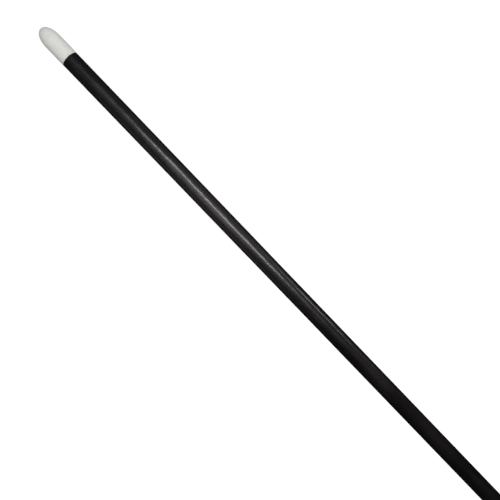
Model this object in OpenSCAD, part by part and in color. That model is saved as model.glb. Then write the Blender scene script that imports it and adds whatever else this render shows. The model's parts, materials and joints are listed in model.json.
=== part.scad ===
// Telescopic extension pole for a paint roller: two steel tubes, a twist lock between them,
// a push-fit tip for the roller at the top and a hand grip with a hanging hole at the bottom.
// Millimetres. +Z runs up the pole from the centre of the end cap's flat base to the tip.
// The pole stands at full reach, with the lock done up.

/* [Tubes] */
// Outside diameter of the outer tube
outer_d = 25.4; // [25:0.1:26]
// Wall of the outer tube
outer_wall = 0.7; // [0.6:0.05:0.8]
// Length of the outer tube
outer_len = 974; // [700:1:1300]
// Outside diameter of the inner tube
inner_d = 22; // [21.8:0.1:22.2]
// Wall of the inner tube
inner_wall = 0.7; // [0.6:0.05:0.8]
// Length of inner tube that stays inside the outer tube at full reach
overlap = 91; // [80:1:140]

/* [Reach] */
// Length that stands out of the lock at full reach, tip included
exposed_len = 880; // [600:1:880]

/* [Tip] */
// Length of the tip above the inner tube
tip_len = 49.5; // [42:0.5:60]
// Length of the rounded nose, out of the tip's length
nose_len = 22; // [14:1:24]
// How blunt the nose is: 2 is an ellipse, and more is blunter
nose_power = 2.5; // [1.8:0.1:3.4]
// Length of the tip's spigot inside the inner tube
spigot_len = 32; // [28:1:45]

/* [Twist lock] */
// Diameter of the nut over its two hard rims
nut_d = 38.4; // [38:0.2:42]
// Rise of the nut in one turn
thread_lead = 6; // [5.6:0.1:6.4]
// Number of finger flutes round the nut
nut_flutes = 20; // [12:1:24]

/* [Grip and end cap] */
// Length of the hand grip
grip_len = 252; // [150:1:320]
// Diameter of the grip's two hard collars
grip_d = 31.6; // [31:0.2:35]
// Height of the end cap below the tubes
cap_h = 30; // [28:1:36]
// Diameter of the hanging hole
hang_hole_d = 9; // [7:0.5:10]

/* [Hidden] */
$fn = 96;

black = "#1c1b1a";
soft_black = "#2a2a2b";
natural = "#dddfda";
steel = "#b4b6b8";

// Radii of the tubes
ro = outer_d / 2;
ri = ro - outer_wall;
so = inner_d / 2;
si = so - inner_wall;

// Running clearance of a sliding or turning fit, and the gap between fixed pieces
run = 0.06;
gap = 0.05;

// Twist lock. Every height in this group is measured from the top end of the outer tube.
base_z0 = -42;
rivet_z = -24;
collar_z0 = -28;
collar_z1 = -14.4;
nut_z0 = -13.5;
waist_z0 = -9;
waist_z1 = 18;
nut_z1 = 30;
seat_z0 = 4;
seat_z1 = 14;
collet_z1 = 20;
washer_h = 1.2;
ceiling_z = 21.4;
wiper_z = 26;
wiper_h = 2.4;

// Radii of the twist lock
collar_r = nut_d / 2 - 0.8;
waist_r = nut_d / 2 - 0.9;
rivet_seat = collar_r - 1.4;
seat_r = 11.9;
seat_slope = 0.17;
wiper_r = 13.1;
flute_r = 2;
flute_depth = 0.7;

// Thread: the nut's ridge runs midway between two turns of the base's ridge
thread_root = 15.2;
thread_crest = 16.5;
nut_bore = 16.9;
nut_crest = 15.6;
thread_embed = 0.5;
thread_z0 = -7.2;
thread_turns = 3.1;
nut_phase = 60;
nut_turns = 2.2;

// Heights of the main stations of the pole
tube_z0 = cap_h;
tube_z1 = tube_z0 + outer_len;
tip_z = tube_z1 + nut_z1 + exposed_len;
rim_z = tip_z - tip_len;
foot_z = tube_z1 - overlap;
grip_z1 = tube_z0 + grip_len;

// Rolled stop bead in the outer tube
bead_z = foot_z + 0.7;
bead_half = 2.5;
bead_depth = 0.7;

// Cross pins and rivets
pin_d = 2.5;
pin_wall = 0.5;
pin_slot = 0.5;
pin_in_tip = 14;
pin_in_plug = 15;
rivet_hole_d = 3.9;

// Hand grip
grip_r = grip_d / 2;
core_r = 14.4;
skin_r = grip_r + 0.2;
flange_h = 8;

// Wear ring of the guide plug: its inner radius, and its groove's two heights below the inner tube
wear_r = 9.85;
wear_z0 = -12;
wear_z1 = -2;

// Points of an arc of radius r about [cx, cy], from angle a0 to a1
function arc(cx, cy, r, a0, a1, n = 6) =
    [for (i = [0:n]) let (a = a0 + (a1 - a0) * i / n) [cx + r * cos(a), cy + r * sin(a)]];

// A solid of revolution from [radius, height] points
module turned(points) {
    rotate_extrude() polygon(points);
}

// Upright cutters evenly spaced round the pole, which leave flutes in a surface of radius at_r
module flutes(at_r, z0, z1) {
    for (i = [0:nut_flutes - 1])
        rotate([0, 0, 360 * i / nut_flutes]) translate([at_r + flute_r - flute_depth, 0, z0])
            cylinder(r = flute_r, h = z1 - z0);
}

// A hole along X through both walls
module cross_hole(d, z) {
    translate([-nut_d, 0, z]) rotate([0, 90, 0]) cylinder(d = d, h = 2 * nut_d);
}

// A hollow spring pin with its slot, lying along X
module spring_pin(z) {
    pin_len = inner_d - 0.4;
    difference() {
        translate([-pin_len / 2, 0, z]) rotate([0, 90, 0]) difference() {
            cylinder(d = pin_d - run, h = pin_len);
            translate([0, 0, -1]) cylinder(d = pin_d - 2 * pin_wall, h = pin_len + 2);
        }
        translate([-pin_len, -pin_slot / 2, z]) cube([2 * pin_len, pin_slot, pin_d]);
    }
}

// A helical ridge of trapezoid section. It fades in and out over its first and last steps.
ridge_steps = 20;
fade_steps = 4;
root_half = 1.7;
crest_half = 1.0;
module thread_ridge(root, crest, z0, turns, phase) {
    n = round(turns * ridge_steps);
    function fade(i) = max(0.3, min(1, i / fade_steps, (n - i) / fade_steps));
    function crest_at(i) = root + (crest - root) * fade(i);
    function corner(i, r, dz) =
        let (a = phase + 360 * i / ridge_steps)
        [r * cos(a), r * sin(a), z0 + thread_lead * i / ridge_steps + dz];
    points = [for (i = [0:n]) each [corner(i, root, -root_half), corner(i, crest_at(i), -crest_half),
                                    corner(i, crest_at(i), crest_half), corner(i, root, root_half)]];
    sides = [for (i = [0:n - 1]) for (k = [0:3])
        let (a = 4 * i + k, b = 4 * i + (k + 1) % 4) each [[a, a + 4, b + 4], [a, b + 4, b]]];
    ends = [[0, 1, 2], [0, 2, 3], [4 * n, 4 * n + 2, 4 * n + 1], [4 * n, 4 * n + 3, 4 * n + 2]];
    faces = concat(sides, ends);
    polyhedron(points, crest < root ? faces : [for (f = faces) [f[2], f[1], f[0]]]);
}

// Depth of the rolled stop bead in the outer tube's wall at height z
function bead(z) = bead_depth * (1 + cos(180 * (z - bead_z) / bead_half)) / 2;

module outer_tube() {
    steps = 12;
    edge = 0.2;
    bead_zs = [for (i = [0:steps]) bead_z + bead_half * (2 * i / steps - 1)];
    outside = [for (z = bead_zs) [ro - bead(z), z]];
    inside = [for (i = [0:steps]) let (z = bead_zs[steps - i]) [ri - bead(z), z]];
    color(black) difference() {
        turned(concat([[ri, tube_z0], [ro - edge, tube_z0], [ro, tube_z0 + edge]], outside,
                      [[ro, tube_z1 - edge], [ro - edge, tube_z1], [ri, tube_z1]], inside));
        cross_hole(rivet_hole_d, tube_z1 + rivet_z);
    }
}

// Threaded base of the lock, sleeved over the top of the outer tube and riveted to it
module lock_base() {
    bore = ro + gap;
    lip_z = 1.25;
    lip_r = so + 0.3;
    seat_top = seat_r + seat_slope * (seat_z1 - seat_z0);
    rivet_pocket_d = 8;
    profile = concat(
        [[bore, base_z0], [bore + 1.45, base_z0], [bore + 1.65, base_z0 + 1], [collar_r - 0.6, collar_z0]],
        arc(collar_r - 1, collar_z0 + 1.2, 1, -30, 0, 3),
        arc(collar_r - 1, collar_z1 - 1, 1, 0, 90, 4),
        [[thread_root, collar_z1], [thread_root, seat_z1 - 0.4], [thread_root - 0.4, seat_z1],
         [seat_top, seat_z1], [seat_r, seat_z0], [lip_r, seat_z0], [lip_r, lip_z], [bore, lip_z]]);
    color(black) translate([0, 0, tube_z1]) difference() {
        union() {
            turned(profile);
            thread_ridge(thread_root - thread_embed, thread_crest, thread_z0, thread_turns, 0);
        }
        flutes(collar_r, collar_z0 - 2, collar_z1 + 0.4);
        cross_hole(rivet_hole_d, rivet_z);
        for (side = [0, 180])
            rotate([0, 0, side]) translate([rivet_seat, 0, rivet_z]) rotate([0, 90, 0])
                cylinder(d = rivet_pocket_d, h = 5);
    }
}

// Two blind rivets that hold the lock base to the outer tube
module lock_base_rivets() {
    shank_r = rivet_hole_d / 2 - gap;
    head_r = 3.5;
    head_h = 1.3;
    tail_r = 2.3;
    tail_h = 0.4;
    inner_end = so + 0.3;
    seat_h = rivet_seat - inner_end;
    dome = [for (i = [1:6]) let (a = 90 * i / 6) [head_r * cos(a), seat_h + head_h * sin(a)]];
    color(steel) translate([0, 0, tube_z1 + rivet_z])
        for (side = [0, 180])
            rotate([0, 0, side]) rotate([0, 90, 0]) translate([0, 0, inner_end])
                turned(concat([[0, 0], [tail_r, 0], [tail_r, tail_h], [shank_r, tail_h],
                               [shank_r, seat_h], [head_r, seat_h]], dome));
}

// Flanged bush in the mouth of the outer tube, which the inner tube slides through
module top_bush() {
    bore = so + 0.1;
    bush_len = 14;
    flange_t = 1.2;
    color(natural) translate([0, 0, tube_z1])
        turned([[bore, -bush_len], [ri - 0.4, -bush_len], [ri - gap, 0.6 - bush_len], [ri - gap, 0],
                [ro - 0.1, 0], [ro - 0.1, flange_t], [bore + 0.4, flange_t], [bore, flange_t - 0.4]]);
}

// Hard sleeve of the hand grip, with a collar at each end
module grip_core() {
    bore = ro + gap;
    z0 = tube_z0 + gap;
    shoulder_r = 3;
    color(black)
        turned(concat([[bore, z0], [grip_r, z0], [grip_r, tube_z0 + flange_h],
                       [core_r, tube_z0 + flange_h], [core_r, grip_z1 - flange_h],
                       [grip_r, grip_z1 - flange_h]],
                      arc(grip_r - shoulder_r, grip_z1 - shoulder_r, shoulder_r, 0, 60, 5),
                      [[bore + 0.4, grip_z1 + 1], [bore, grip_z1 + 0.6]]));
}

// Soft skin over the grip's core, with bands of shallow ring grooves
module grip_skin() {
    z0 = tube_z0 + flange_h + gap;
    z1 = grip_z1 - flange_h - gap;
    edge = 0.6;
    bands = 4;
    grooves = 6;
    pitch = 5;
    groove_w = 2;
    groove_r = skin_r - 0.9;
    band_len = (z1 - z0) / bands;
    groove_zs = [for (b = [0:bands - 1]) for (g = [0:grooves - 1])
        z0 + band_len * (b + 0.5) + pitch * (g - (grooves - 1) / 2)];
    outside = [for (z = groove_zs) each [[skin_r, z - groove_w / 2], [groove_r, z - groove_w / 4],
                                         [groove_r, z + groove_w / 4], [skin_r, z + groove_w / 2]]];
    color(soft_black)
        turned(concat([[core_r + gap, z0], [skin_r - edge, z0], [skin_r, z0 + edge]], outside,
                      [[skin_r, z1 - edge], [skin_r - edge, z1], [core_r + gap, z1]]));
}

// End cap: a barbed plug inside the outer tube and a solid foot with the hanging hole across it
module end_cap() {
    plug_r = ri - 0.1;
    plug_bore = 9;
    plug_top = cap_h + 34;
    floor_z = cap_h + 4;
    barb_step = 7;
    barb_zs = [for (i = [0:2]) cap_h + 10 + barb_step * i];
    barbs = [for (z = barb_zs) each [[plug_r - 0.5, z - 2], [ri - 0.02, z - 0.8], [plug_r - 0.5, z + 1.6]]];
    foot_edge = 4;
    web = 14;
    scoop_r = 8.6;
    scoop_w = 20;
    hole_z = 12.4;
    color(black) difference() {
        turned(concat([[0, 0]], arc(grip_r - foot_edge, foot_edge, foot_edge, -90, 0, 8),
                      [[grip_r, cap_h], [plug_r, cap_h]], barbs,
                      [[plug_r - 0.5, plug_top - 1], [plug_r - 1.5, plug_top], [plug_bore, plug_top],
                       [plug_bore, floor_z], [0, floor_z]]));
        translate([0, -grip_d, hole_z]) rotate([-90, 0, 0]) cylinder(d = hang_hole_d, h = 2 * grip_d);
        for (side = [-1, 1])
            translate([0, side * (web + scoop_w) / 2, hole_z]) rotate([90, 0, 0])
                cylinder(r = scoop_r, h = scoop_w, center = true);
    }
}

// Clamping collet that the nut drives into the tapered seat of the lock base
module collet() {
    slots = 4;
    slot_w = 1.2;
    slot_h = 12;
    z0 = seat_z0 + 0.5;
    cone_gap = 0.35;
    head_r = 14.2;
    head_z = seat_z1 + 0.8;
    bore = so + run;
    function cone(z) = seat_r + seat_slope * (z - seat_z0) - cone_gap;
    color(natural) translate([0, 0, tube_z1]) difference() {
        turned([[bore, z0], [cone(z0), z0], [cone(head_z), head_z], [head_r, head_z],
                [head_r, collet_z1 - 1], [head_r - 0.8, collet_z1], [bore, collet_z1]]);
        for (i = [0:slots - 1]) {
            rotate([0, 0, 360 * i / slots]) translate([0, -slot_w / 2, z0 - 1])
                cube([20, slot_w, slot_h + 1]);
            rotate([0, 0, 360 * (i + 0.5) / slots]) translate([0, -slot_w / 2, collet_z1 - slot_h])
                cube([20, slot_w, slot_h + 1]);
        }
    }
}

// Washer that lets the nut turn on the collet without dragging it round
module thrust_ring() {
    washer_z = collet_z1 + gap;
    color(steel) translate([0, 0, tube_z1])
        turned([[so + 0.5, washer_z], [14.6, washer_z], [14.6, washer_z + washer_h],
                [so + 0.5, washer_z + washer_h]]);
}

// Twist nut with an internal thread
module lock_nut() {
    rim_r = nut_d / 2;
    rim_edge = 0.8;
    shoulder_r = 4;
    mouth_r = 1.2;
    bore = so + 0.6;
    groove_r = wiper_r + 0.1;
    groove_half = wiper_h / 2 + 0.1;
    stop_groove_r = 17.6;
    color(black) translate([0, 0, tube_z1]) {
        turned(concat(
            [[nut_bore, nut_z0], [rim_r - rim_edge, nut_z0], [rim_r, nut_z0 + rim_edge],
             [rim_r, waist_z0], [waist_r, waist_z0], [waist_r, waist_z1], [rim_r, waist_z1]],
            arc(rim_r - shoulder_r, waist_z1 + 3.6, shoulder_r, 0, 68, 8),
            arc(bore + mouth_r, nut_z1 - mouth_r, mouth_r, 68, 180, 6),
            [[bore, wiper_z + groove_half], [groove_r, wiper_z + groove_half],
             [groove_r, wiper_z - groove_half], [bore, wiper_z - groove_half], [bore, ceiling_z],
             [nut_bore - 1.6, ceiling_z], [nut_bore, waist_z1],
             [nut_bore, stop_z1 + gap], [stop_groove_r, stop_z1 + gap],
             [stop_groove_r, stop_z0 - gap], [nut_bore, stop_z0 - gap]]));
        thread_ridge(nut_bore + thread_embed, nut_crest,
                     thread_z0 + thread_lead * (0.5 + nut_phase / 360), nut_turns, nut_phase);
    }
}

// Split ring snapped into the nut's skirt. The base's thread catches it, so the nut can't come off.
stop_z0 = nut_z0 + 0.6;
stop_z1 = stop_z0 + 1;
module nut_stop_ring() {
    split = 3;
    ring_in = thread_root + 0.25;
    ring_out = 17.5;
    color(steel) translate([0, 0, tube_z1]) difference() {
        turned([[ring_in, stop_z0], [ring_out, stop_z0], [ring_out, stop_z1], [ring_in, stop_z1]]);
        rotate([0, 0, 30]) translate([0, -split / 2, stop_z0 - 1]) cube([ring_out + 1, split, 3]);
    }
}

// Soft band moulded round the nut's waist
module nut_band() {
    band_r = nut_d / 2 + 0.7;
    edge = 0.9;
    z0 = waist_z0 + gap;
    z1 = waist_z1 - gap;
    color(soft_black) translate([0, 0, tube_z1]) difference() {
        turned([[waist_r + gap, z0], [band_r - edge, z0], [band_r, z0 + edge], [band_r, z1 - edge],
                [band_r - edge, z1], [waist_r + gap, z1]]);
        flutes(band_r, z0 - 1, z1 + 1);
    }
}

// Rubber lip in the nut's mouth, which wipes paint drips off the inner tube
module wiper_ring() {
    lip_r = so + 0.1;
    lip_half = 0.2;
    half = wiper_h / 2;
    color(soft_black) translate([0, 0, tube_z1 + wiper_z])
        turned([[so + 0.4, -half], [wiper_r, -half], [wiper_r, half], [so + 0.5, half],
                [lip_r, lip_half], [lip_r, -lip_half]]);
}

// Split wear ring round the guide plug, which slides inside the outer tube
module guide_ring() {
    edge = 0.5;
    split = 2.4;
    r_out = ri - 0.08;
    z0 = wear_z0 + 0.1;
    z1 = wear_z1 - 0.1;
    color(natural) translate([0, 0, foot_z]) difference() {
        turned([[wear_r, z0], [r_out - edge, z0], [r_out, z0 + edge], [r_out, z1 - edge],
                [r_out - edge, z1], [wear_r, z1]]);
        rotate([0, 0, 45]) translate([0, -split / 2, z0 - 1]) cube([ri, split, z1 - z0 + 2]);
    }
}

module inner_tube() {
    foot_edge = 0.2;
    rim_edge = 0.45;
    color(black) difference() {
        turned(concat([[si, foot_z], [so - foot_edge, foot_z], [so, foot_z + foot_edge]],
                      arc(so - rim_edge, rim_z - rim_edge, rim_edge, 0, 90, 4), [[si, rim_z]]));
        cross_hole(pin_d, rim_z - pin_in_tip);
        cross_hole(pin_d, foot_z + pin_in_plug);
    }
}

// Tip that pushes into the socket of a roller's handle: parallel sides and a rounded nose
module push_fit_tip() {
    spigot_r = si - gap;
    spigot_z0 = rim_z - spigot_len;
    core_bore = 6.5;
    nose_z0 = tip_z - nose_len;
    dome_z = nose_z0 - 4 - core_bore;
    shoulder = 0.3;
    nose = [for (i = [0:20]) let (rise = sin(90 * i / 20))
        [so * sqrt(1 - pow(rise, nose_power)), nose_z0 + nose_len * rise]];
    color(natural) difference() {
        turned(concat([[core_bore, spigot_z0], [spigot_r - 1, spigot_z0], [spigot_r, spigot_z0 + 3],
                       [spigot_r, rim_z], [so - shoulder, rim_z], [so, rim_z + shoulder]], nose,
                      arc(0, dome_z, core_bore, 90, 0, 6)));
        cross_hole(pin_d, rim_z - pin_in_tip);
    }
}

module tip_pin() {
    color(steel) spring_pin(rim_z - pin_in_tip);
}

// Plug in the foot of the inner tube, with a groove for the wear ring and a socket for the buffer
module guide_plug() {
    spigot_r = si - gap;
    spigot_top = 30;
    groove_r = wear_r - run;
    flange_r = 11.4;
    core_bore = 6;
    socket_r = 5;
    color(natural) translate([0, 0, foot_z]) difference() {
        turned([[socket_r, -21], [8, -21], [flange_r, -15.4], [flange_r, wear_z0], [groove_r, wear_z0],
                [groove_r, wear_z1], [so, wear_z1], [so, -gap], [spigot_r, -gap],
                [spigot_r, spigot_top - 3], [spigot_r - 1, spigot_top], [core_bore, spigot_top],
                [core_bore, wear_z0], [socket_r, wear_z0]]);
        cross_hole(pin_d, pin_in_plug);
    }
}

module guide_plug_pin() {
    color(steel) spring_pin(foot_z + pin_in_plug);
}

// Rubber button under the guide plug, which lands on the end cap when the pole is pushed shut
module buffer() {
    head_r = 7.5;
    head_edge = 1;
    stem_r = 4.95;
    color(soft_black) translate([0, 0, foot_z])
        turned(concat([[0, -24]], arc(head_r - head_edge, head_edge - 24, head_edge, -90, 0, 4),
                      [[head_r, -21 - gap], [stem_r, -21 - gap], [stem_r, -15], [stem_r - 0.6, -14],
                       [0, -14]]));
}

outer_tube();
lock_base();
lock_base_rivets();
top_bush();
grip_core();
grip_skin();
end_cap();
collet();
thrust_ring();
lock_nut();
nut_stop_ring();
nut_band();
wiper_ring();
guide_ring();
inner_tube();
push_fit_tip();
tip_pin();
guide_plug();
guide_plug_pin();
buffer();
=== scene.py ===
"""The looks of a telescopic roller extension pole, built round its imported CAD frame.

Everything is in metres in the CAD's own frame: +Z runs up the pole, from the end cap's flat base to
the tip.
"""

import json
import math

import bmesh
import bpy
from mathutils import Matrix, Vector


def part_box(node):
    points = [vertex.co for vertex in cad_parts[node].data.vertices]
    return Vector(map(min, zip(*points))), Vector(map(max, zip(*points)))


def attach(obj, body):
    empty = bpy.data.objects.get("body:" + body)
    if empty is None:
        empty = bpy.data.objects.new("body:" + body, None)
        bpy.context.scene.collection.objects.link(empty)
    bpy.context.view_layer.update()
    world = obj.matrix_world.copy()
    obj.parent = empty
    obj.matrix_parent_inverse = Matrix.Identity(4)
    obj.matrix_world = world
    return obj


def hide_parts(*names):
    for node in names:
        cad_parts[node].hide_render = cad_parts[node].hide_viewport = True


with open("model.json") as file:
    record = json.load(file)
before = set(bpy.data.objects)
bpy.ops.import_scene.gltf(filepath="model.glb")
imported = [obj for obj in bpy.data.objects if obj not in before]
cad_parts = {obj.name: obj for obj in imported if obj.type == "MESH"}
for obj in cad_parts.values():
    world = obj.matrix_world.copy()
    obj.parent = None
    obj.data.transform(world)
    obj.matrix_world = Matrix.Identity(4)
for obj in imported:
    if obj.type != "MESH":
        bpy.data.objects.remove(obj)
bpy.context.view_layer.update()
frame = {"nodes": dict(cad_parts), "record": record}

MM = 0.001
TURN = 2 * math.pi
RECORD = frame["record"]
BODY = {node: body for body, nodes in RECORD["behaviour"]["bodies"].items() for node in nodes}
MOUNT = {mount["name"]: mount for mount in RECORD["mounts"]}


# ---------------------------------------------------------------- sizes, taken from the frame

def low(node):
    """Height of a CAD node's lowest point."""
    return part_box(node)[0].z


def high(node):
    """Height of a CAD node's highest point."""
    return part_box(node)[1].z


def radii(node):
    """A CAD node's smallest and largest distance from the pole's axis."""
    reach = [vertex.co.xy.length for vertex in frame["nodes"][node].data.vertices]
    return min(reach), max(reach)


WALL = 0.7 * MM          # both tubes' wall
SEAT_GAP = 0.05 * MM     # between pieces that are fixed together

INNER_R = radii("inner_tube")[1]
INNER_BORE = INNER_R - WALL
RIM = high("inner_tube")
FOOT = low("inner_tube")
TIP_TOP = high("push_fit_tip")
TIP_PIN_Z = (low("tip_pin") + high("tip_pin")) / 2
PLUG_PIN_Z = (low("guide_plug_pin") + high("guide_plug_pin")) / 2
PIN_HOLE_R = 1.25 * MM

OUTER_R = radii("outer_tube")[1]
OUTER_BORE = OUTER_R - WALL
OUTER_FOOT = low("outer_tube")
LOCK = high("outer_tube")                 # the lock's heights are counted from the outer tube's top
RIVET_Z = (low("lock_base_rivets") + high("lock_base_rivets")) / 2
RIVET_HOLE_R = 1.95 * MM

NUT_R = radii("lock_nut")[1]
NUT_LOW, NUT_HIGH = low("lock_nut"), high("lock_nut")
BAND_R = radii("nut_band")[1]
BAND_LOW, BAND_HIGH = low("nut_band"), high("nut_band")
FLUTES = 20
GRIP_R = radii("grip_core")[1]


# ---------------------------------------------------------------- meshes

STRAIGHT = math.radians(178)     # a corner wider than this stays as it is
MOST_OF_HALF = 0.49              # the share of a side that a fillet may take
ON_AXIS = 1e-9
SHARP_EDGE = math.radians(40)


def outline(corners, step=math.radians(12)):
    """Points (radius, height, edge) round a closed run of corners, each (radius, height) or
    (radius, height, fillet). edge is 1 on a rounded outside corner, -1 in an inside one, else 0."""
    flat = [Vector(corner[:2]) for corner in corners]
    count = len(flat)
    area = sum(flat[i - 1].cross(flat[i]) for i in range(count))
    points = []
    for i, corner in enumerate(corners):
        here, before, after = flat[i], flat[i - 1], flat[(i + 1) % count]
        fillet = corner[2] if len(corner) > 2 else 0
        back, ahead = (before - here).normalized(), (after - here).normalized()
        opening = back.angle(ahead)
        if fillet <= 0 or opening > STRAIGHT:
            points.append((here.x, here.y, 0))
            continue
        reach = fillet / math.tan(opening / 2)
        longest = MOST_OF_HALF * min((before - here).length, (after - here).length)
        if reach > longest:
            fillet *= longest / reach
        middle = here + (back + ahead).normalized() * (fillet / math.sin(opening / 2))
        start = here + back * (fillet / math.tan(opening / 2)) - middle
        bend = math.copysign(math.pi - opening, back.cross(ahead) * -1)
        edge = 1 if (bend > 0) == (area > 0) else -1
        steps = max(2, math.ceil(abs(bend) / step))
        for k in range(steps + 1):
            spoke = Matrix.Rotation(bend * k / steps, 2) @ start
            weight = edge if 0 < k < steps else 0
            points.append((middle.x + spoke.x, middle.y + spoke.y, weight))
    return points


def new_mesh(name, points, faces, edges):
    """A mesh with outward normals, which carries edge as an attribute."""
    mesh = bpy.data.meshes.new(name)
    mesh.from_pydata(points, [], faces)
    mesh.attributes.new("edge", "FLOAT", "POINT").data.foreach_set("value", edges)
    shell = bmesh.new()
    shell.from_mesh(mesh)
    bmesh.ops.recalc_face_normals(shell, faces=shell.faces)
    shell.to_mesh(mesh)
    shell.free()
    return mesh


def lathe(name, profile, segments=128, shape=None):
    """A closed solid of revolution about the pole's axis. profile is a closed run of
    (radius, height, edge), and shape(angle, radius, height) gives a point's true radius."""
    points, edges, rings = [], [], []
    for radius, height, edge in profile:
        count = segments if radius > ON_AXIS else 1
        rings.append([len(points) + k for k in range(count)])
        for k in range(count):
            angle = TURN * k / segments
            reach = shape(angle, radius, height) if shape and count > 1 else radius
            points.append((reach * math.cos(angle), reach * math.sin(angle), height))
            edges.append(edge)
    faces = []
    for here, there in zip(rings, rings[1:] + rings[:1]):
        if len(here) == 1 and len(there) == 1:
            continue
        for k in range(segments):
            a, b = here[k % len(here)], here[(k + 1) % len(here)]
            c, d = there[(k + 1) % len(there)], there[k % len(there)]
            faces.append(list(dict.fromkeys((a, b, c, d))))
    return new_mesh(name, points, faces, edges)


def screw_ridge(name, root, crest, start, lead, turns, phase, root_half, crest_half, steps=72):
    """A helical ridge from radius root to radius crest, which fades in and out at its ends."""
    count = round(turns * steps)
    flank = [(0, -1), (0.72, -0.62), (0.93, -0.5), (1, -0.3)]
    section = flank + [(out, -side) for out, side in reversed(flank)]
    end_share, fades_a_turn = 0.3, 5
    points = []
    for i in range(count + 1):
        angle = phase + TURN * i / steps
        fade = min(1, max(end_share, fades_a_turn * i / steps, fades_a_turn * (count - i) / steps))
        for out, side in section:
            half = root_half + (crest_half - root_half) * out
            reach = root + (crest - root) * out * fade
            rise = start + lead * i / steps + (half * side / abs(side) if out < 1 else crest_half * side)
            points.append((reach * math.cos(angle), reach * math.sin(angle), rise))
    size = len(section)
    faces = [(size * i + k, size * i + (k + 1) % size, size * (i + 1) + (k + 1) % size, size * (i + 1) + k)
             for i in range(count) for k in range(size)]
    faces += [tuple(range(size)), tuple(range(size * count, size * count + size))]
    return new_mesh(name, points, faces, [0] * len(points))


def rod(radius, length, at, along="X", segments=64):
    """A plain straight cutter centred on a point."""
    shell = bmesh.new()
    turn = {"X": Matrix.Rotation(TURN / 4, 4, "Y"), "Y": Matrix.Rotation(TURN / 4, 4, "X")}[along]
    bmesh.ops.create_cone(shell, cap_ends=True, segments=segments, radius1=radius, radius2=radius,
                          depth=length, matrix=Matrix.Translation(at) @ turn)
    mesh = bpy.data.meshes.new("cutter")
    shell.to_mesh(mesh)
    shell.free()
    return mesh


def tidy_slivers(mesh):
    """Takes out the sliver faces that a boolean leaves."""
    sliver = 0.004 * MM
    work = bmesh.new()
    work.from_mesh(mesh)
    bmesh.ops.triangulate(work, faces=[face for face in work.faces if len(face.verts) > 4])
    bmesh.ops.dissolve_degenerate(work, edges=work.edges, dist=sliver)
    bmesh.ops.remove_doubles(work, verts=work.verts, dist=sliver)
    work.to_mesh(mesh)
    work.free()


def combine(mesh, others, operation="DIFFERENCE"):
    """The mesh after an exact boolean with each of the others."""
    scene = bpy.context.scene
    made = bpy.data.objects.new(mesh.name, mesh)
    tools = [bpy.data.objects.new("tool", other) for other in others]
    for thing in [made, *tools]:
        scene.collection.objects.link(thing)
    for tool in tools:
        step = made.modifiers.new("combine", "BOOLEAN")
        step.object = tool
        step.operation = operation
        step.solver = "EXACT"
    bpy.context.view_layer.update()
    ready = made.evaluated_get(bpy.context.evaluated_depsgraph_get())
    result = bpy.data.meshes.new_from_object(ready)
    for thing in [made, *tools]:
        bpy.data.objects.remove(thing)
    result.name = mesh.name
    tidy_slivers(result)
    return result


def piece(name, mesh, look, *nodes):
    """Puts a mesh in the scene in place of CAD nodes, on their body and with the given look."""
    mesh.materials.clear()
    mesh.materials.append(look)
    mesh.shade_smooth()
    mesh.set_sharp_from_angle(angle=SHARP_EDGE)
    made = bpy.data.objects.new(name, mesh)
    bpy.context.scene.collection.objects.link(made)
    normals = made.modifiers.new("even_normals", "WEIGHTED_NORMAL")
    normals.keep_sharp = True
    normals.weight = 100
    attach(made, BODY[nodes[0]])
    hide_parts(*nodes)
    return made


def soft_min(a, b, softness):
    """The smaller of two lengths, blended where they are close."""
    return (a + b - math.sqrt((a - b) ** 2 + softness ** 2)) / 2


def fluted(at_radius, depth=0.7 * MM, scoop=2 * MM, lip=0.22 * MM):
    """A shape for lathe(): upright flutes of round section, evenly spaced round a surface."""
    centre = at_radius + scoop - depth
    reach = 1.6 * depth

    def shape(angle, radius, height):
        """The radius, cut back where a flute passes."""
        off = (angle * FLUTES / TURN + 0.5) % 1 - 0.5
        swing = off * TURN / FLUTES
        inside = scoop ** 2 - (centre * math.sin(swing)) ** 2
        if inside <= 0:
            return radius
        floor = centre * math.cos(swing) - math.sqrt(inside)
        return soft_min(radius, floor, lip) if radius > at_radius - reach else radius

    return shape


# ---------------------------------------------------------------- materials

def node(tree, kind, inputs=None, **settings):
    """A shader node with its settings, and with each input set or linked."""
    made = tree.nodes.new("ShaderNode" + kind)
    for name, value in settings.items():
        setattr(made, name, value)
    for name, value in (inputs or {}).items():
        if isinstance(value, bpy.types.NodeSocket):
            tree.links.new(value, made.inputs[name])
        else:
            made.inputs[name].default_value = value
    return made


def noise(tree, scale, detail=3, stretch=1, roughness=0.5):
    """Noise in the object's own space, with scale in cycles a metre across the pole. Along the
    pole it is stretched by the given factor."""
    place = node(tree, "TexCoord").outputs["Object"]
    scaled = node(tree, "Mapping", {"Vector": place, "Scale": (scale, scale, scale / stretch)})
    made = node(tree, "TexNoise", {"Vector": scaled.outputs[0], "Scale": 1, "Detail": detail,
                                   "Roughness": roughness})
    return made.outputs["Fac"]


def span(tree, value, low_in, high_in, low_out=0.0, high_out=1.0):
    """Carries a value from one range to another, clamped."""
    made = node(tree, "MapRange", {"Value": value, "From Min": low_in, "From Max": high_in,
                                   "To Min": low_out, "To Max": high_out})
    return made.outputs[0]


def maths(tree, operation, a, b):
    """One operation on two values."""
    return node(tree, "Math", {0: a, 1: b}, operation=operation).outputs[0]


def times(tree, a, b):
    """The product of two values."""
    return maths(tree, "MULTIPLY", a, b)


def blend(tree, share, a, b):
    """Mixes two colours."""
    made = node(tree, "Mix", data_type="RGBA")
    for socket, value in ((made.inputs[0], share), (made.inputs[6], a), (made.inputs[7], b)):
        if isinstance(value, bpy.types.NodeSocket):
            tree.links.new(value, socket)
        else:
            socket.default_value = value
    return made.outputs[2]


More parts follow.
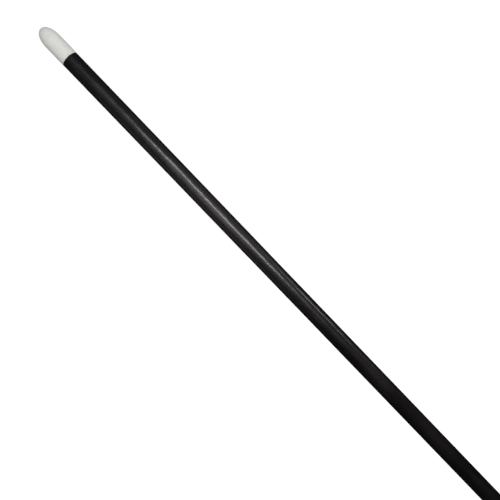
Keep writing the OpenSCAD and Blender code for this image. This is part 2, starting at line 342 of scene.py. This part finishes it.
def bump(tree, height, depth, under=None):
    """Bump of a real depth in metres, laid over another."""
    inputs = {"Height": height, "Distance": depth, "Strength": 1.0}
    if under is not None:
        inputs["Normal"] = under
    return node(tree, "Bump", inputs).outputs[0]


def edge_share(tree, sign):
    """1 on rounded outside edges for sign 1, or in inside corners for sign -1."""
    value = node(tree, "Attribute", attribute_name="edge").outputs["Fac"]
    return span(tree, times(tree, value, sign), 0.0, 1.0)


def new_look(name, **uniform):
    """A new material, its tree and its shader, with the uniform values set on the shader."""
    made = bpy.data.materials.new(name)
    made.use_nodes = True
    tree = made.node_tree
    shader = tree.nodes["Principled BSDF"]
    for socket, value in uniform.items():
        shader.inputs[socket.replace("_", " ")].default_value = value
    return made, tree, shader


def finish_look(tree, shader, colour, roughness, normal):
    """Links a material's colour, roughness and normal to its shader."""
    tree.links.new(colour, shader.inputs["Base Color"])
    tree.links.new(roughness, shader.inputs["Roughness"])
    tree.links.new(normal, shader.inputs["Normal"])


def satin_black_paint():
    """Satin black paint on drawn tube: a warm and cool mottle, waves, orange peel and long scuffs."""
    warm, cool = (0.0050, 0.0031, 0.0031, 1), (0.0018, 0.0030, 0.0030, 1)
    scuffed = (0.03, 0.029, 0.027, 1)
    wave_depth, peel_depth, scuff_depth = 1.0 * MM, 0.002 * MM, 0.0015 * MM
    made, tree, shader = new_look("satin_black_paint", Specular_IOR_Level=0.45, Coat_Weight=0.85,
                                  Coat_Roughness=0.27, Specular_Tint=(1.0, 0.90, 0.90, 1))
    tone = blend(tree, span(tree, noise(tree, 32, 3, stretch=3), 0.38, 0.62), warm, cool)
    scuffs = span(tree, noise(tree, 900, 2, stretch=70), 0.60, 0.74)
    patches = span(tree, noise(tree, 55, 3, stretch=2), 0.45, 0.7)
    worn = times(tree, scuffs, patches)
    colour = blend(tree, times(tree, worn, 0.5), tone, scuffed)
    mottle = span(tree, noise(tree, 60, 4, stretch=2.5), 0.35, 0.65, 0.42, 0.62)
    roughness = maths(tree, "ADD", mottle, times(tree, worn, 0.08))
    waves = bump(tree, noise(tree, 60, 3, stretch=2.2), wave_depth)
    peel = bump(tree, noise(tree, 700, 2), peel_depth, waves)
    lines = bump(tree, scuffs, scuff_depth, peel)
    tree.links.new(waves, shader.inputs["Coat Normal"])
    finish_look(tree, shader, colour, roughness, lines)
    return made


def white_tip_plastic():
    """Slightly milky white plastic with fine scuffs, darker in patches over the last few millimetres above
    the tube's rim.
    """
    deeper, paler = (0.815, 0.812, 0.785, 1), (0.845, 0.842, 0.812, 1)
    rim_dark, scuffed = (0.30, 0.29, 0.27, 1), (0.52, 0.515, 0.49, 1)
    darkening_reach = 3 * MM
    grain_depth, scuff_depth = 0.0015 * MM, 0.003 * MM
    made, tree, shader = new_look("white_tip_plastic", Specular_IOR_Level=0.4)
    tone = blend(tree, span(tree, noise(tree, 120, 4), 0.3, 0.7), deeper, paler)
    place = node(tree, "SeparateXYZ", {0: node(tree, "TexCoord").outputs["Object"]}).outputs["Z"]
    # The colour darkens in patches towards the tube's rim, over the last few millimetres of the tip.
    near_rim = span(tree, place, RIM + darkening_reach, RIM, 0.0, 1.0)
    rubbed = span(tree, noise(tree, 500, 3, stretch=2), 0.40, 0.62)
    rim_darkening = times(tree, times(tree, near_rim, rubbed), 0.45)
    scuffs = span(tree, noise(tree, 700, 3, stretch=12), 0.62, 0.76)
    marks = times(tree, scuffs, 0.07)
    rim_darkened = blend(tree, rim_darkening, tone, rim_dark)
    colour = blend(tree, marks, rim_darkened, scuffed)
    roughness = span(tree, noise(tree, 300, 3), 0.3, 0.7, 0.38, 0.52)
    grain = bump(tree, noise(tree, 900, 2), grain_depth)
    scratched = bump(tree, scuffs, scuff_depth, grain)
    finish_look(tree, shader, colour, roughness, scratched)
    return made


def grained_black_plastic():
    """Black moulded plastic with a fine spark grain, rubbed smoother and paler on its edges."""
    darker, lighter = (0.016, 0.016, 0.017, 1), (0.021, 0.021, 0.022, 1)
    polished, dust = (0.06, 0.06, 0.06, 1), (0.075, 0.072, 0.066, 1)
    grain_depth = 0.03 * MM
    made, tree, shader = new_look("grained_black_plastic", Specular_IOR_Level=0.5)
    tone = blend(tree, span(tree, noise(tree, 90, 3), 0.35, 0.65), darker, lighter)
    rubbed = times(tree, edge_share(tree, 1), span(tree, noise(tree, 260, 4), 0.42, 0.6))
    dusty = times(tree, edge_share(tree, -1), 0.5)
    worn = blend(tree, times(tree, rubbed, 0.6), tone, polished)
    colour = blend(tree, dusty, worn, dust)
    base = span(tree, noise(tree, 150, 3), 0.3, 0.7, 0.50, 0.62)
    roughness = maths(tree, "SUBTRACT", base, times(tree, rubbed, 0.14))
    grain = bump(tree, noise(tree, 1800, 2, roughness=0.6), grain_depth)
    finish_look(tree, shader, colour, roughness, grain)
    return made


def soft_rubber():
    """Matt elastomer with a fine bloom, polished where fingers rub it and dusty in its grooves."""
    darker, lighter = (0.022, 0.022, 0.023, 1), (0.030, 0.030, 0.031, 1)
    dust = (0.085, 0.082, 0.076, 1)
    skin_depth = 0.02 * MM
    made, tree, shader = new_look("soft_rubber", Specular_IOR_Level=0.35, Sheen_Weight=0.06,
                                  Sheen_Roughness=0.5)
    tone = blend(tree, span(tree, noise(tree, 60, 4), 0.35, 0.65), darker, lighter)
    rubbed = times(tree, edge_share(tree, 1), span(tree, noise(tree, 180, 3), 0.4, 0.6))
    bloom = times(tree, edge_share(tree, -1), 0.6)
    colour = blend(tree, bloom, tone, dust)
    base = span(tree, noise(tree, 120, 4), 0.3, 0.7, 0.70, 0.84)
    roughness = maths(tree, "SUBTRACT", base, times(tree, rubbed, 0.22))
    skin = bump(tree, noise(tree, 1300, 3, roughness=0.65), skin_depth)
    finish_look(tree, shader, colour, roughness, skin)
    return made


def natural_nylon():
    """Unpigmented nylon of the inner pieces, with grey rubbing marks along the pole."""
    deeper, paler = (0.72, 0.715, 0.66, 1), (0.79, 0.785, 0.735, 1)
    rubbed = (0.30, 0.295, 0.28, 1)
    grain_depth = 0.008 * MM
    made, tree, shader = new_look("natural_nylon", Subsurface_Weight=0.3, Subsurface_Scale=0.002)
    tone = blend(tree, span(tree, noise(tree, 80, 3), 0.3, 0.7), deeper, paler)
    marks = span(tree, noise(tree, 600, 3, stretch=14), 0.58, 0.75, 0.0, 0.35)
    colour = blend(tree, marks, tone, rubbed)
    roughness = span(tree, noise(tree, 240, 3), 0.3, 0.7, 0.36, 0.52)
    grain = bump(tree, noise(tree, 800, 2), grain_depth)
    finish_look(tree, shader, colour, roughness, grain)
    return made


def plated_steel():
    """Zinc-plated steel with a soft brushed grain and cloudy tarnish."""
    bright, tarnished = (0.58, 0.585, 0.60, 1), (0.44, 0.43, 0.41, 1)
    brush_depth = 0.004 * MM
    made, tree, shader = new_look("plated_steel", Metallic=1.0)
    cloud = span(tree, noise(tree, 260, 4), 0.35, 0.7)
    colour = blend(tree, cloud, bright, tarnished)
    roughness = span(tree, noise(tree, 400, 3), 0.3, 0.7, 0.28, 0.46)
    brushed = bump(tree, noise(tree, 1500, 2, stretch=0.08), brush_depth)
    finish_look(tree, shader, colour, roughness, brushed)
    return made


PAINT = satin_black_paint()
TIP_PLASTIC = white_tip_plastic()
PLASTIC = grained_black_plastic()
RUBBER = soft_rubber()
NYLON = natural_nylon()
STEEL = plated_steel()


# ---------------------------------------------------------------- the upper section

def upper_tube():
    """Inner tube with a rolled rim and the two cross-pin holes."""
    clear = 4 * MM
    stations = [PLUG_PIN_Z - clear, PLUG_PIN_Z + clear, TIP_PIN_Z - clear, TIP_PIN_Z + clear]
    outside = [(INNER_R, height) for height in stations]
    inside = [(INNER_BORE, height) for height in reversed(stations)]
    profile = outline([(INNER_BORE, FOOT, 0.12 * MM), (INNER_R, FOOT, 0.2 * MM), *outside,
                       (INNER_R, RIM, 0.45 * MM), (INNER_BORE, RIM, 0.12 * MM), *inside])
    mesh = lathe("inner_tube_painted", profile, segments=160)
    holes = [rod(PIN_HOLE_R, 3 * INNER_R, (0, 0, height)) for height in (PLUG_PIN_Z, TIP_PIN_Z)]
    return piece("inner_tube_painted", combine(mesh, holes), PAINT, "inner_tube")


def roller_tip():
    """Push-fit tip: a hollow spigot in the tube, a shoulder on its rim and a rounded nose."""
    parallel = MOUNT["roller_tip"]
    half = parallel["dims"]["length_mm"] * MM / 2
    sides_low, nose_low = parallel["pos_m"][2] - half, parallel["pos_m"][2] + half
    spigot_r = INNER_BORE - SEAT_GAP
    spigot_low = low("push_fit_tip")
    core_r = 6.5 * MM
    nose, bluntness = TIP_TOP - nose_low, 2.5
    core_top = nose_low - 4 * MM
    seam, seam_w = 0.05 * MM, 0.22 * MM
    gate_r, gate_depth = 1.1 * MM, 0.25 * MM
    side_steps, steps, core_steps = 8, 48, 8
    lower = outline([(core_r, spigot_low, 0.3 * MM), (spigot_r - MM, spigot_low, 0.5 * MM),
                     (spigot_r, spigot_low + 3 * MM, 0.5 * MM), (spigot_r, RIM, 0.05 * MM),
                     (INNER_R - 0.3 * MM, RIM, 0.1 * MM), (INNER_R, sides_low, 0.3 * MM),
                     (INNER_R, nose_low), (core_r, nose_low)])[:-2]
    sides = [(INNER_R, sides_low + (nose_low - sides_low) * k / side_steps, 0)
             for k in range(1, side_steps)]
    rises = [math.sin(TURN / 4 * k / steps) for k in range(steps)]
    dome = [(INNER_R * math.sqrt(1 - rise ** bluntness), nose_low + nose * rise, 0) for rise in rises]
    dome = [point for point in dome if point[0] > gate_r]
    gate_top = dome[-1][1]
    gate = [(0.85 * gate_r, gate_top - 0.6 * gate_depth, -1), (0.6 * gate_r, gate_top - gate_depth, -1),
            (0, gate_top - gate_depth, -1)]
    turns = [TURN / 4 * k / core_steps for k in range(core_steps + 1)]
    core = [(core_r * math.sin(turn), core_top - core_r * (1 - math.cos(turn)), 0) for turn in turns]

    def shape(angle, radius, height):
        """A faint parting line down both sides of the nose."""
        if height < sides_low or radius < 2 * gate_r:
            return radius
        off = radius * math.sin(angle)
        return radius + seam * math.exp(-(off / seam_w) ** 2)

    mesh = lathe("roller_tip", lower + sides + dome + gate + core, segments=192, shape=shape)
    hole = rod(PIN_HOLE_R, 3 * INNER_R, (0, 0, TIP_PIN_Z))
    return piece("roller_tip", combine(mesh, [hole]), TIP_PLASTIC, "push_fit_tip")


# ---------------------------------------------------------------- the lower section

def lower_tube():
    """Outer tube with a rolled stop bead, deburred ends and the two rivet holes."""
    bead_z = FOOT + 0.7 * MM
    bead_half = 2.5 * MM
    bead_depth = 0.7 * MM
    clear = 5 * MM
    half_steps = 12
    bead = []
    for k in range(2 * half_steps + 1):
        off = bead_half * (k / half_steps - 1)
        bead.append((bead_z + off, bead_depth * (1 + math.cos(math.pi * off / bead_half)) / 2))
    stations = [RIVET_Z - clear, RIVET_Z + clear]
    above_foot = OUTER_FOOT + clear
    foot = outline([(OUTER_BORE, OUTER_FOOT, 0.1 * MM), (OUTER_R, OUTER_FOOT, 0.2 * MM),
                    (OUTER_R, above_foot), (OUTER_BORE, above_foot)])[:-2]
    outside = [(OUTER_R - depth, height, 0) for height, depth in bead]
    outside += [(OUTER_R, height, 0) for height in stations]
    top = outline([(OUTER_R, LOCK - MM), (OUTER_R, LOCK, 0.2 * MM), (OUTER_BORE, LOCK, 0.1 * MM),
                   (OUTER_BORE, LOCK - MM)])[1:-1]
    inside = [(OUTER_BORE, height, 0) for height in reversed(stations)]
    inside += [(OUTER_BORE - depth, height, 0) for height, depth in reversed(bead)]
    mesh = lathe("outer_tube_painted", foot + outside + top + inside, segments=160)
    hole = rod(RIVET_HOLE_R, 3 * OUTER_R, (0, 0, RIVET_Z))
    return piece("outer_tube_painted", combine(mesh, [hole]), PAINT, "outer_tube")


def grip_sleeve():
    """Hard sleeve of the hand grip, with a collar at each end."""
    bore = radii("grip_core")[0]
    core_r = radii("grip_skin")[0] - SEAT_GAP
    z0, z1 = low("grip_core"), high("grip_core")
    skin_low, skin_high = low("grip_skin") - SEAT_GAP, high("grip_skin") + SEAT_GAP
    shoulder = 3 * MM
    profile = outline([(bore, z0, 0.1 * MM), (GRIP_R, z0, 0.4 * MM), (GRIP_R, skin_low, 0.3 * MM),
                       (core_r, skin_low, 0.1 * MM), (core_r, skin_high, 0.1 * MM),
                       (GRIP_R, skin_high, 0.3 * MM), (GRIP_R, z1 - 1.2 * MM, shoulder),
                       (bore + MM, z1, 0.5 * MM), (bore, z1 - 0.2 * MM, 0.2 * MM)])
    return piece("grip_sleeve", lathe("grip_sleeve", profile), PLASTIC, "grip_core")


def grip_skin():
    """Soft skin of the hand grip, with four bands of six ring grooves."""
    inner, outer = radii("grip_skin")
    z0, z1 = low("grip_skin"), high("grip_skin")
    bands, grooves = 4, 6
    pitch, groove_w, depth = 5 * MM, 2 * MM, 0.9 * MM
    lip, root = 0.3 * MM, 0.25 * MM
    band = (z1 - z0) / bands
    corners = [(inner, z0, 0.1 * MM), (outer, z0, 0.6 * MM)]
    for b in range(bands):
        for g in range(grooves):
            middle = z0 + band * (b + 0.5) + pitch * (g - (grooves - 1) / 2)
            corners += [(outer, middle - groove_w / 2, lip), (outer - depth, middle - groove_w / 4, root),
                        (outer - depth, middle + groove_w / 4, root), (outer, middle + groove_w / 2, lip)]
    corners += [(outer, z1, 0.6 * MM), (inner, z1, 0.1 * MM)]
    profile = outline(corners, step=math.radians(25))
    return piece("grip_skin_soft", lathe("grip_skin_soft", profile), RUBBER, "grip_skin")


def end_cap():
    """Foot with a hanging hole through a web, and a barbed plug that holds it in the tube."""
    cap_top = OUTER_FOOT
    plug_r = OUTER_BORE - 0.1 * MM
    plug_bore = 9 * MM
    plug_top = high("end_cap")
    hole_z = MOUNT["hang_hole"]["pos_m"][2]
    hole_r = MOUNT["hang_hole"]["dims"]["r_mm"] * MM
    web = MOUNT["hang_hole"]["dims"]["length_mm"] * MM
    scoop_r, scoop_w = 8.6 * MM, 20 * MM
    neck = plug_r - 0.5 * MM
    barbs, first_barb, barb_pitch = 3, 10 * MM, 7 * MM
    corners = [(0, 0), (GRIP_R, 0, 4 * MM), (GRIP_R, cap_top, 0.35 * MM), (plug_r, cap_top, 0.15 * MM)]
    for k in range(barbs):
        barb = cap_top + first_barb + barb_pitch * k
        corners += [(neck, barb - 2 * MM, 0.2 * MM), (OUTER_BORE - 0.02 * MM, barb - 0.8 * MM, 0.15 * MM),
                    (neck, barb + 1.6 * MM, 0.3 * MM)]
    floor = cap_top + 4 * MM
    corners += [(neck, plug_top - MM, 0.5 * MM), (neck - MM, plug_top, 0.3 * MM),
                (plug_bore, plug_top, 0.3 * MM), (plug_bore, floor, 0.8 * MM), (0, floor)]
    mesh = lathe("end_cap_moulding", outline(corners, step=math.radians(9)))
    cuts = [rod(hole_r, 3 * GRIP_R, (0, 0, hole_z), "Y")]
    for side in (-1, 1):
        cuts.append(rod(scoop_r, scoop_w, (0, side * (web + scoop_w) / 2, hole_z), "Y", segments=96))
    return piece("end_cap_moulding", combine(mesh, cuts), PLASTIC, "end_cap")


# ---------------------------------------------------------------- the twist lock

LEAD = 6 * MM
THREAD_ROOT, THREAD_CREST = 15.2 * MM, 16.5 * MM
NUT_BORE, NUT_CREST = 16.9 * MM, 15.6 * MM
THREAD_LOW = LOCK - 7.2 * MM
EMBED = 0.5 * MM
ROOT_HALF, CREST_HALF = 1.7 * MM, 1.0 * MM
BASE_TURNS, NUT_TURNS = 3.1, 2.2


def lock_base():
    """Threaded base of the lock, with a fluted collar, two rivet pockets and the collet's seat."""
    bore = OUTER_R + SEAT_GAP
    z0, z1 = low("lock_base"), high("lock_base")
    collar_r = NUT_R - 0.8 * MM
    collar_low, collar_high = LOCK - 28 * MM, LOCK - 14.4 * MM
    seat_low, seat_r, slope = LOCK + 4 * MM, 11.9 * MM, 0.17
    lip_r, lip_z = INNER_R + 0.3 * MM, LOCK + 1.25 * MM
    seat_top = seat_r + slope * (z1 - seat_low)
    profile = outline([(bore, z0, 0.15 * MM), (bore + 1.5 * MM, z0, 0.4 * MM),
                       (bore + 1.7 * MM, z0 + MM, 2 * MM), (collar_r - 0.4 * MM, collar_low, 2.5 * MM),
                       (collar_r, collar_low + 0.8 * MM, 1.2 * MM), (collar_r, collar_high, MM),
                       (THREAD_ROOT, collar_high, 0.3 * MM), (THREAD_ROOT, z1, 0.4 * MM),
                       (seat_top, z1, 0.2 * MM), (seat_r, seat_low, 0.2 * MM), (lip_r, seat_low, 0.2 * MM),
                       (lip_r, lip_z, 0.2 * MM), (bore, lip_z, 0.1 * MM)])
    mesh = lathe("lock_base_moulding", profile, segments=320, shape=fluted(collar_r))
    ridge = screw_ridge("ridge", THREAD_ROOT - EMBED, THREAD_CREST, THREAD_LOW, LEAD, BASE_TURNS, 0,
                        ROOT_HALF, CREST_HALF)
    mesh = combine(mesh, [ridge], "UNION")
    pocket_r, pocket_depth = 4 * MM, 5 * MM
    pocket_floor = collar_r - 1.4 * MM
    cuts = [rod(RIVET_HOLE_R, 3 * NUT_R, (0, 0, RIVET_Z))]
    for side in (-1, 1):
        cuts.append(rod(pocket_r, pocket_depth, (side * (pocket_floor + pocket_depth / 2), 0, RIVET_Z)))
    return piece("lock_base_moulding", combine(mesh, cuts), PLASTIC, "lock_base")


def lock_nut():
    """Twist nut: two hard rims, a waist for the soft band, a rounded shoulder and a thread inside."""
    waist_r = radii("nut_band")[0] - SEAT_GAP
    waist_low, waist_high = BAND_LOW - SEAT_GAP, BAND_HIGH + SEAT_GAP
    bore = INNER_R + 0.6 * MM
    ceiling = LOCK + 21.4 * MM
    wiper_r = radii("wiper_ring")[1] + 0.1 * MM
    wiper_low, wiper_high = low("wiper_ring") - 0.1 * MM, high("wiper_ring") + 0.1 * MM
    stop_r = 17.6 * MM
    stop_low, stop_high = low("nut_stop_ring") - SEAT_GAP, high("nut_stop_ring") + SEAT_GAP
    profile = outline([
        (NUT_BORE, NUT_LOW, 0.2 * MM), (NUT_R, NUT_LOW, 0.8 * MM), (NUT_R, waist_low, 0.35 * MM),
        (waist_r, waist_low, 0.1 * MM), (waist_r, waist_high, 0.1 * MM), (NUT_R, waist_high, 0.35 * MM),
        (NUT_R, waist_high + 4.6 * MM, 3.5 * MM), (bore + 1.1 * MM, NUT_HIGH, 1.2 * MM),
        (bore, NUT_HIGH - MM, 0.5 * MM), (bore, wiper_high, 0.1 * MM), (wiper_r, wiper_high, 0.1 * MM),
        (wiper_r, wiper_low, 0.1 * MM), (bore, wiper_low, 0.1 * MM), (bore, ceiling, 0.2 * MM),
        (NUT_BORE - 1.6 * MM, ceiling, 0.4 * MM), (NUT_BORE, LOCK + 18 * MM, 0.6 * MM),
        (NUT_BORE, stop_high, 0.05 * MM), (stop_r, stop_high, 0.1 * MM), (stop_r, stop_low, 0.1 * MM),
        (NUT_BORE, stop_low, 0.05 * MM)])
    mesh = lathe("lock_nut_moulding", profile, segments=192)
    phase = TURN / 6
    thread_low = THREAD_LOW + LEAD * (0.5 + phase / TURN)
    ridge = screw_ridge("ridge", NUT_BORE + EMBED, NUT_CREST, thread_low, LEAD, NUT_TURNS, phase,
                        ROOT_HALF, CREST_HALF)
    return piece("lock_nut_moulding", combine(mesh, [ridge], "UNION"), PLASTIC, "lock_nut")


def nut_band():
    """Soft fluted band round the nut's waist."""
    inner = radii("nut_band")[0]
    round_over, steps = 1.0 * MM, 6
    side = [(BAND_R, BAND_LOW + (BAND_HIGH - BAND_LOW) * k / steps) for k in range(1, steps)]
    profile = outline([(inner, BAND_LOW, 0.1 * MM), (BAND_R, BAND_LOW, round_over), *side,
                       (BAND_R, BAND_HIGH, round_over), (inner, BAND_HIGH, 0.1 * MM)])
    mesh = lathe("nut_band_soft", profile, segments=400, shape=fluted(BAND_R))
    return piece("nut_band_soft", mesh, RUBBER, "nut_band")


def wiper_lip():
    """Rubber lip in the nut's mouth."""
    inner, outer = radii("wiper_ring")
    z0, z1 = low("wiper_ring"), high("wiper_ring")
    middle = (z0 + z1) / 2
    profile = outline([(INNER_R + 0.4 * MM, z0, 0.1 * MM), (outer, z0, 0.3 * MM), (outer, z1, 0.3 * MM),
                       (INNER_R + 0.5 * MM, z1, 0.1 * MM), (inner, middle + 0.2 * MM, 0.12 * MM),
                       (inner, middle - 0.2 * MM, 0.12 * MM)])
    return piece("wiper_lip", lathe("wiper_lip", profile), RUBBER, "wiper_ring")


def lock_rivets():
    """Two blind rivets: domed heads with the broken mandrel's dimple, and flattened tails."""
    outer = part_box("lock_base_rivets")[1].x
    inner_end = INNER_R + 0.3 * MM
    shank_r = RIVET_HOLE_R - SEAT_GAP
    head_r, head_h = 3.5 * MM, 1.3 * MM
    tail_r, tail_h = 2.3 * MM, 0.4 * MM
    seat = outer - inner_end - head_h
    top = seat + head_h
    turns = [TURN / 4 * k / 10 for k in range(1, 8)]
    dome = [(head_r * math.cos(turn), seat + head_h * math.sin(turn), 0) for turn in turns]
    dimple = [(0.85 * MM, top - 0.02 * MM, 1), (0.7 * MM, top - 0.15 * MM, -1),
              (0.6 * MM, top - 0.5 * MM, -1), (0, top - 0.5 * MM, 0)]
    stem = outline([(0, 0), (tail_r, 0, 0.15 * MM), (tail_r, tail_h, 0.1 * MM),
                    (shank_r, tail_h, 0.05 * MM), (shank_r, seat, 0.1 * MM), (head_r, seat, 0.25 * MM),
                    (head_r, seat + 0.3 * MM), (0, seat + 0.3 * MM)])[:-2]
    both = bmesh.new()
    one = lathe("rivet", stem + dome + dimple, segments=48)
    for side in (0, TURN / 2):
        turn = Matrix.Rotation(side, 4, "Z") @ Matrix.Rotation(TURN / 4, 4, "Y")
        copy = one.copy()
        copy.transform(Matrix.Translation((0, 0, RIVET_Z)) @ turn @ Matrix.Translation((0, 0, inner_end)))
        both.from_mesh(copy)
    mesh = bpy.data.meshes.new("lock_rivets")
    both.to_mesh(mesh)
    both.free()
    return piece("lock_rivets", mesh, STEEL, "lock_base_rivets")


def inner_pieces():
    """The small inner pieces keep their CAD shapes and get their looks."""
    for look, names in ((NYLON, ("top_bush", "collet", "guide_ring", "guide_plug")),
                        (STEEL, ("thrust_ring", "nut_stop_ring", "tip_pin", "guide_plug_pin")),
                        (RUBBER, ("buffer",))):
        for name in names:
            materials = frame["nodes"][name].data.materials
            materials.clear()
            materials.append(look)


upper_tube()
roller_tip()
lower_tube()
grip_sleeve()
grip_skin()
end_cap()
lock_base()
lock_nut()
nut_band()
wiper_lip()
lock_rivets()
inner_pieces()


# ---------------------------------------------------------------- floor, light and camera

WHITE = (1, 1, 1, 1)


def white_room():
    """World light: white to the camera, soft and even on the object, and dim in reflections."""
    to_camera, on_object, in_reflections = 1.0, 0.35, 0.01
    world = bpy.data.worlds.new("white_room")
    bpy.context.scene.world = world
    world.use_nodes = True
    tree = world.node_tree
    tree.nodes.clear()
    path = node(tree, "LightPath")
    seen, soft, mirrored = (node(tree, "Background", {"Color": WHITE, "Strength": strength}).outputs[0]
                            for strength in (to_camera, on_object, in_reflections))
    first = node(tree, "MixShader", {0: path.outputs["Is Glossy Ray"], 1: soft, 2: mirrored})
    last = node(tree, "MixShader", {0: path.outputs["Is Camera Ray"], 1: first.outputs[0], 2: seen})
    out = tree.nodes.new("ShaderNodeOutputWorld")
    tree.links.new(last.outputs[0], out.inputs["Surface"])


def pale_floor():
    """A wide white floor that takes only a faint shadow."""
    half = 30.0
    corners = [(-half, -half, 0), (half, -half, 0), (half, half, 0), (-half, half, 0)]
    mesh = bpy.data.meshes.new("floor")
    mesh.from_pydata(corners, [], [(0, 1, 2, 3)])
    look, *_ = new_look("pale_floor", Base_Color=(0.72, 0.72, 0.72, 1), Roughness=0.9,
                        Specular_IOR_Level=0.0, Emission_Color=WHITE, Emission_Strength=0.87)
    mesh.materials.append(look)
    floor = bpy.data.objects.new("floor", mesh)
    bpy.context.scene.collection.objects.link(floor)
    floor.visible_glossy = False
    floor.visible_diffuse = False


CAMERA_LENS = 42            # millimetres, like the sensor's width
CAMERA_SENSOR = 36
CAMERA_FAR = 718 * MM
AIM_BELOW_TIP = 365.8 * MM
AIM_ASIDE = -3.1 * MM
CAMERA_DIP = math.radians(2.64)
CAMERA_ROLL = math.radians(43.885)


def camera():
    """The camera looks at the upper section from slightly above, rolled so that the pole runs across
    the picture from corner to corner."""
    data = bpy.data.cameras.new("camera")
    data.lens = CAMERA_LENS
    data.sensor_width = CAMERA_SENSOR
    data.clip_start = 0.01
    data.clip_end = 100
    made = bpy.data.objects.new("camera", data)
    bpy.context.scene.collection.objects.link(made)
    bpy.context.scene.camera = made
    aim = Vector((AIM_ASIDE, 0, TIP_TOP - AIM_BELOW_TIP))
    made.location = aim + CAMERA_FAR * Vector((0, -math.cos(CAMERA_DIP), math.sin(CAMERA_DIP)))
    ahead = (aim - made.location).normalized()
    side = Vector((1, 0, 0))
    above = side.cross(ahead)
    right = math.cos(CAMERA_ROLL) * side - math.sin(CAMERA_ROLL) * above
    up = math.sin(CAMERA_ROLL) * side + math.cos(CAMERA_ROLL) * above
    made.rotation_euler = Matrix((right, up, -ahead)).transposed().to_euler()
    return made


def lamp(name, bearing, far, height, width, tall, watts, diffuse=True):
    """An area light that the camera doesn't see. It faces the pole's axis at its own height, from a
    bearing in degrees from -Y towards +X, and its tall side runs along the pole."""
    turn = math.radians(bearing)
    at = Vector((far * math.sin(turn), -far * math.cos(turn), height))
    data = bpy.data.lights.new(name, "AREA")
    data.shape = "RECTANGLE"
    data.size = width
    data.size_y = tall
    data.energy = watts
    made = bpy.data.objects.new(name, data)
    bpy.context.scene.collection.objects.link(made)
    made.location = at
    made.rotation_euler = (Vector((0, 0, height)) - at).to_track_quat("-Z", "Y").to_euler()
    made.visible_camera = False
    made.visible_diffuse = diffuse


def front_lights(level):
    """Light on the upper section, at heights counted from the camera's: a narrow strip whose
    reflection is the bright line along the tube, soft panels in front of the pole and at both sides,
    and a short strip low at one side for a second, fainter line."""
    line, panel, side = level + 0.07, level + 0.13, level - 0.29
    near, far = 0.74, 0.9
    lamp("key_line", 15.5, near, line, width=0.05, tall=0.42, watts=2.2)
    lamp("key_panel", -4, far, panel, width=0.75, tall=0.24, watts=0.42)
    lamp("wide_panel", 0, far, panel, width=2.3, tall=0.24, watts=1.8)
    lamp("left_panel", -88, far, panel, width=0.5, tall=0.7, watts=0.30)
    lamp("right_panel", 84, far, panel, width=0.5, tall=0.7, watts=0.24)
    lamp("side_line", 70, far, side, width=0.06, tall=0.18, watts=0.6, diffuse=False)


def whole_pole_lights():
    """Strips behind the pole for the views from the back, and small ones for the grip and the lock."""
    middle, grip, lock = 1.0, 0.27, LOCK - 0.16
    lamp("back_strip", 180, 1.3, middle, width=0.14, tall=1.8, watts=3.6)
    lamp("back_left_strip", -158, 1.4, middle, width=0.12, tall=1.8, watts=0.6)
    lamp("back_right_strip", 158, 1.5, middle, width=0.10, tall=1.8, watts=0.5)
    lamp("grip_strip", 32, 0.35, grip, width=0.06, tall=0.5, watts=0.5)
    lamp("grip_strip_left", -48, 0.35, grip, width=0.06, tall=0.5, watts=0.25)
    lamp("lock_strip", 36, 0.2, lock, width=0.04, tall=0.1, watts=0.03)


white_room()
pale_floor()
front_lights(camera().location.z)
whole_pole_lights()
bpy.context.scene.view_settings.view_transform = "Standard"
